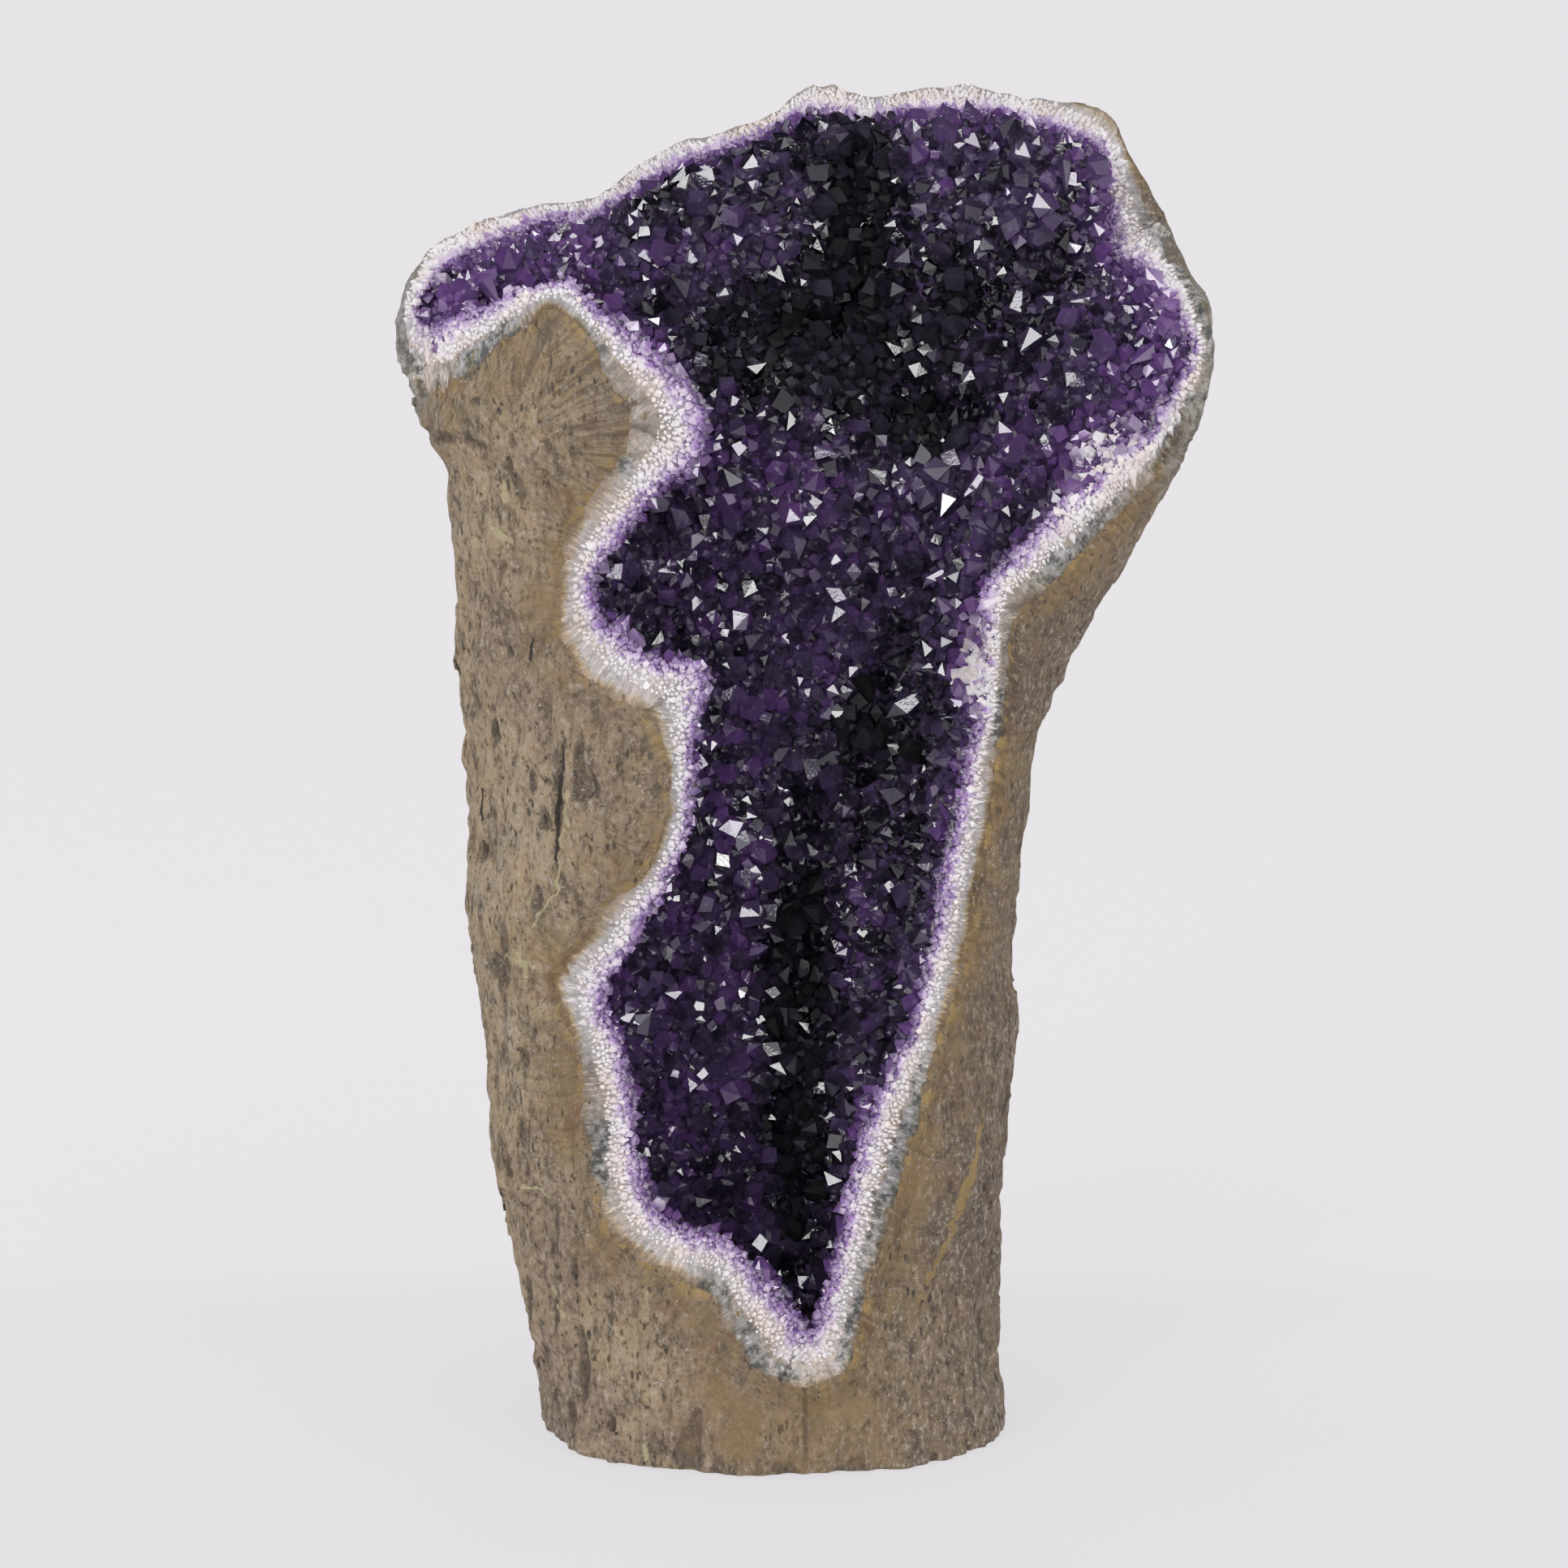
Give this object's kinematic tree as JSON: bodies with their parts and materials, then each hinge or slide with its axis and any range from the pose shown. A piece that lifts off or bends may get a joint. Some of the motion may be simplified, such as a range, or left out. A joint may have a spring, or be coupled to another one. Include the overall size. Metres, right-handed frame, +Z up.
{
  "type": "amethyst cathedral geode",
  "caption": "Upright hollow geode of brown basalt, open at the top and down its front, lined with pale chalcedony and a crust of purple amethyst crystals.",
  "frame": {"origin": "centre of the flat base, on the surface that the geode stands on", "axes": "+Z up along the trunk, the slit in the front faces -Y, +X is to the right seen from the front"},
  "size_m": [0.3645, 0.2185, 0.6077],
  "materials": {
    "basalt": "rough weathered brown basalt",
    "chalcedony": "milky white and grey banded quartz",
    "amethyst": "dark violet crystal faces, glossy"
  },
  "bodies": {
    "root": {"basalt_shell": "basalt", "chalcedony_lining": "chalcedony", "amethyst_crust": "amethyst"}
  },
  "joints": []
}
